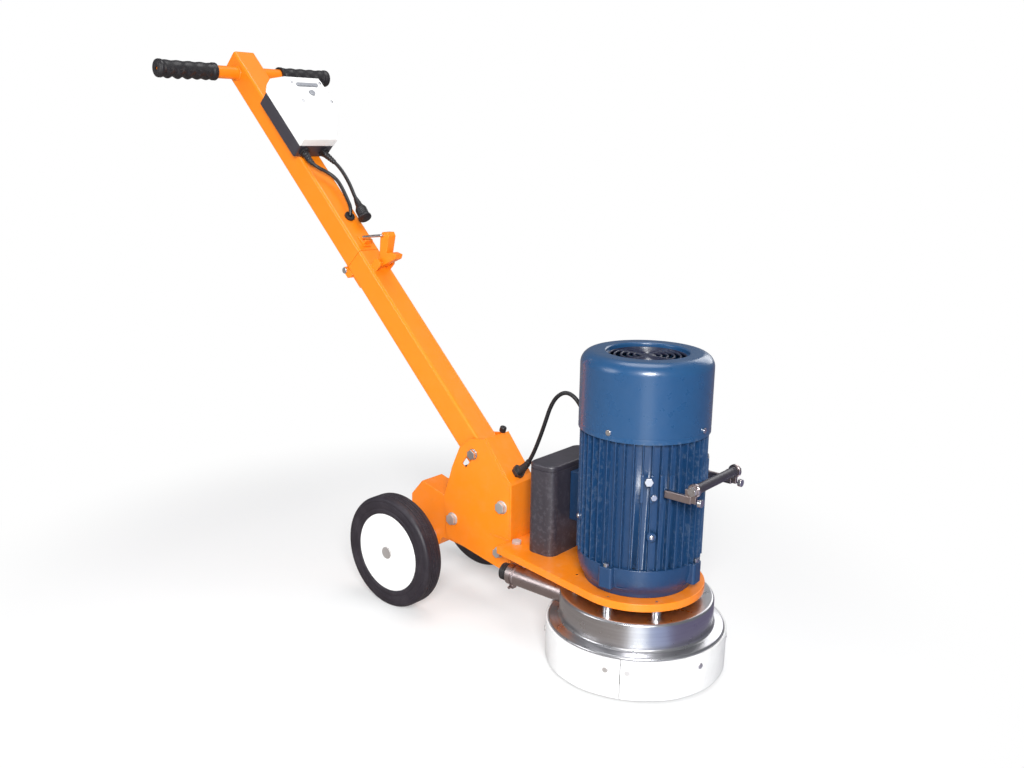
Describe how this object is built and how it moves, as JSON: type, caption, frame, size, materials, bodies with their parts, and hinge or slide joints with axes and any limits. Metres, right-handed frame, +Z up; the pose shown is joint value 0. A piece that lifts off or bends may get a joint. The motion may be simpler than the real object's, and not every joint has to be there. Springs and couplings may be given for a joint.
{
  "type": "concrete grinder",
  "caption": "Walk-behind single-disc electric concrete grinder: upright finned motor on a base plate, round dust hood, wheels behind and a folding box-section handle.",
  "frame": {"origin": "On the floor, under the middle of the machine's box (its axle is close above it)", "axes": "+X forward to the grinding head, +Y to the operator's left, +Z up"},
  "size_m": [1.1767, 0.4112, 0.992],
  "materials": {
    "orange_paint": "gloss powder coat",
    "blue_paint": "semi-gloss enamel",
    "bright_steel": "zinc plated",
    "spun_steel": "spun, brushed round",
    "white_plastic": "satin",
    "dark_plastic": "satin",
    "black_rubber": "moulded",
    "tyre_rubber": "matte",
    "cast_iron": "machined",
    "copper_winding": "varnished",
    "diamond_metal": "sintered",
    "can_aluminium": "drawn",
    "button_grey": "gloss"
  },
  "bodies": {
    "frame": {"base_plate": "orange_paint", "hood_standoffs": "bright_steel", "hood": "spun_steel", "dust_port": "bright_steel", "port_cuff": "black_rubber", "port_clamp": "bright_steel", "skirt": "white_plastic", "skirt_rivets": "bright_steel", "drive_end_shield": "blue_paint", "stator_housing": "blue_paint", "stator_core": "cast_iron", "stator_windings": "copper_winding", "fan_end_shield": "blue_paint", "motor_bearings": "bright_steel", "fan_cowl": "blue_paint", "motor_bolts": "bright_steel", "terminal_box": "blue_paint", "capacitor_cover": "dark_plastic", "capacitors": "can_aluminium", "lift_handle_arms": "bright_steel", "lift_handle_grip": "black_rubber", "lift_handle_bolts": "bright_steel", "side_plate_right": "orange_paint", "side_plate_left": "orange_paint", "chassis_bolts": "bright_steel", "front_web": "orange_paint", "bump_stop": "black_rubber", "axle_carrier": "orange_paint", "axle": "bright_steel", "cable_glands": "black_rubber", "motor_cable": "black_rubber"},
    "spindle": {"motor_shaft": "bright_steel", "rotor_core": "cast_iron", "cooling_fan": "dark_plastic", "drive_hub": "cast_iron", "grinding_disc": "cast_iron", "disc_bolts": "bright_steel", "diamond_segments": "diamond_metal"},
    "right_wheel": {"tyre_right": "tyre_rubber", "wheel_disc_right": "white_plastic"},
    "left_wheel": {"tyre_left": "tyre_rubber", "wheel_disc_left": "white_plastic"},
    "lower_handle": {"lower_column": "orange_paint", "index_bolt": "bright_steel", "hinge_pin": "bright_steel"},
    "upper_handle": {"upper_column": "orange_paint", "latch_keeper": "orange_paint", "handlebar": "orange_paint", "grips": "black_rubber", "switch_box_base": "dark_plastic", "switch_box_cover": "white_plastic", "contactor": "dark_plastic", "lead_fittings": "black_rubber", "control_lead": "black_rubber", "mains_lead": "black_rubber", "mains_plug": "black_rubber"},
    "latch_lever": {"latch_lever": "orange_paint"},
    "latch_bail": {"latch_bail": "bright_steel"},
    "stop_bar": {"stop_bar": "button_grey"},
    "start_button": {"start_button": "button_grey"}
  },
  "joints": [
    {"name": "spindle_spin", "type": "hinge", "parent": "frame", "child": "spindle", "pos_m": [0.441, 0, 0.06], "axis": [0, 0, 1], "continuous": true},
    {"name": "right_wheel_spin", "type": "hinge", "parent": "frame", "child": "right_wheel", "pos_m": [0.001, -0.123, 0.1027], "axis": [0, 1, 0], "continuous": true},
    {"name": "left_wheel_spin", "type": "hinge", "parent": "frame", "child": "left_wheel", "pos_m": [0.001, 0.123, 0.1027], "axis": [0, 1, 0], "continuous": true},
    {"name": "handle_tilt", "type": "hinge", "parent": "frame", "child": "lower_handle", "pos_m": [0.177, 0, 0.203], "axis": [0, -1, 0], "range_deg": [0, 16]},
    {"name": "handle_fold", "type": "hinge", "parent": "lower_handle", "child": "upper_handle", "pos_m": [-0.22894, 0, 0.57944], "axis": [0, 1, 0], "range_deg": [-140, 0]},
    {"name": "latch_lever_swing", "type": "hinge", "parent": "lower_handle", "child": "latch_lever", "pos_m": [-0.14701, 0, 0.60022], "axis": [0, 1, 0], "range_deg": [-4, 25]},
    {"name": "latch_bail_swing", "type": "hinge", "parent": "latch_lever", "child": "latch_bail", "pos_m": [-0.14091, 0, 0.65108], "axis": [0, 1, 0], "range_deg": [0, 60]},
    {"name": "stop_press", "type": "slide", "parent": "upper_handle", "child": "stop_bar", "axis": [-0.7132, 0, -0.7009], "range_m": [0, 0.003], "stiffness_N_per_m": 800},
    {"name": "start_press", "type": "slide", "parent": "upper_handle", "child": "start_button", "axis": [-0.7132, 0, -0.7009], "range_m": [0, 0.003], "stiffness_N_per_m": 800}
  ]
}
